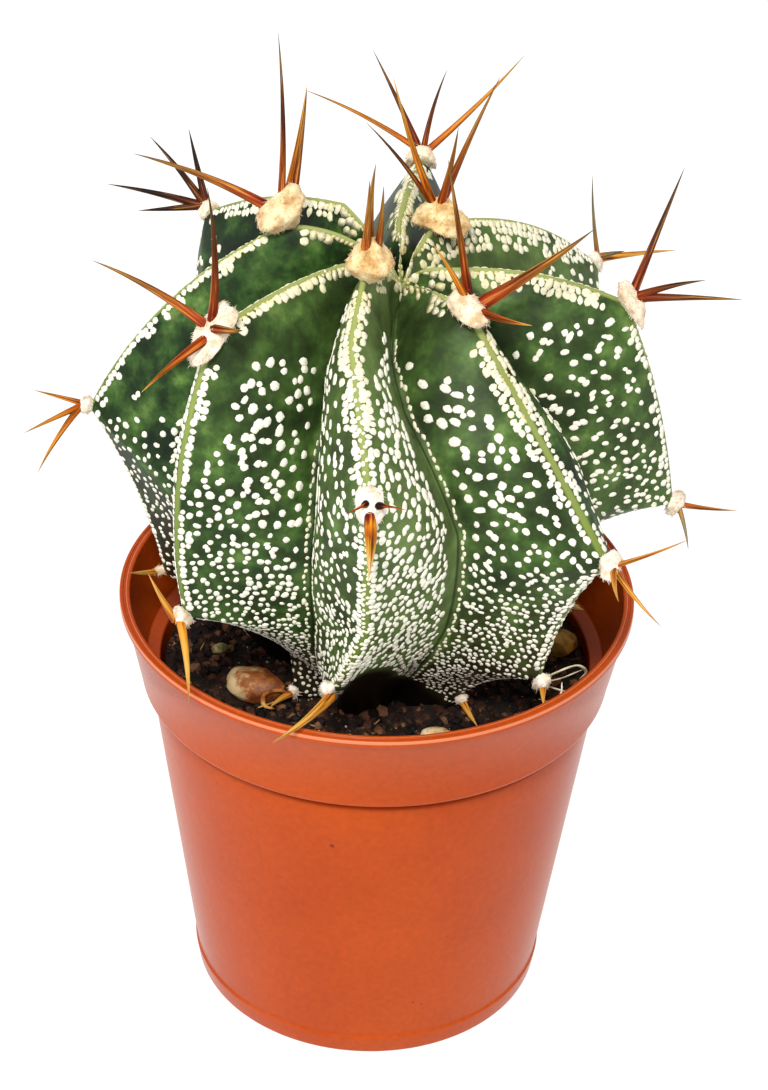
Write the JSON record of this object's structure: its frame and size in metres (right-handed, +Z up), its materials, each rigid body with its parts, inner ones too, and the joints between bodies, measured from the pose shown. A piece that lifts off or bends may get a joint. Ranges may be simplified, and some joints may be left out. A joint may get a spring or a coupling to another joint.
{
  "type": "potted monk's hood cactus",
  "caption": "Young ribbed cactus with spines, felt pads and white-flecked skin, rooted in peat in a small round nursery pot.",
  "frame": {"origin": "centre of the pot's flat underside, on the surface it stands on", "axes": "+Z up along the pot's axis; -Y towards the front of the plant, +X to its right"},
  "size_m": [0.0742, 0.073, 0.1108],
  "materials": {
    "pot_plastic": "thermoformed terracotta-coloured polypropylene, satin outside, with a rolled rim",
    "peat": "damp black peat with crumbs and fibres",
    "stone": "dull water-worn gravel, tan to cream",
    "stem_skin": "firm dark green skin with a soft sheen, dotted with raised cream wool flecks",
    "areole_wool": "short dense felt, cream-yellow when young and near white when old",
    "spine_horn": "stiff horny spines, red-brown at the root to straw or amber at the tip"
  },
  "bodies": {
    "root": {"brown_grit": "stone", "cream_stone": "stone", "green_grit": "stone", "pale_grit": "stone", "peat": "peat", "pebble": "stone", "pot": "pot_plastic", "shard": "stone", "spines_back_1": "spine_horn", "spines_back_2": "spine_horn", "spines_back_3": "spine_horn", "spines_back_left_1": "spine_horn", "spines_back_left_2": "spine_horn", "spines_back_right_1": "spine_horn", "spines_back_right_2": "spine_horn", "spines_back_right_3": "spine_horn", "spines_front_1": "spine_horn", "spines_front_2": "spine_horn", "spines_front_3": "spine_horn", "spines_front_left_1": "spine_horn", "spines_front_left_2": "spine_horn", "spines_front_left_3": "spine_horn", "spines_front_right_1": "spine_horn", "spines_front_right_2": "spine_horn", "spines_front_right_3": "spine_horn", "spines_front_right_4": "spine_horn", "spines_left_1": "spine_horn", "spines_left_2": "spine_horn", "spines_left_3": "spine_horn", "spines_right_1": "spine_horn", "spines_right_2": "spine_horn", "spines_right_3": "spine_horn", "stem": "stem_skin", "wool_back_1": "areole_wool", "wool_back_2": "areole_wool", "wool_back_3": "areole_wool", "wool_back_left_1": "areole_wool", "wool_back_left_2": "areole_wool", "wool_back_right_1": "areole_wool", "wool_back_right_2": "areole_wool", "wool_back_right_3": "areole_wool", "wool_front_1": "areole_wool", "wool_front_2": "areole_wool", "wool_front_3": "areole_wool", "wool_front_left_1": "areole_wool", "wool_front_left_2": "areole_wool", "wool_front_left_3": "areole_wool", "wool_front_right_1": "areole_wool", "wool_front_right_2": "areole_wool", "wool_front_right_3": "areole_wool", "wool_front_right_4": "areole_wool", "wool_left_1": "areole_wool", "wool_left_2": "areole_wool", "wool_left_3": "areole_wool", "wool_right_1": "areole_wool", "wool_right_2": "areole_wool", "wool_right_3": "areole_wool"}
  },
  "joints": []
}
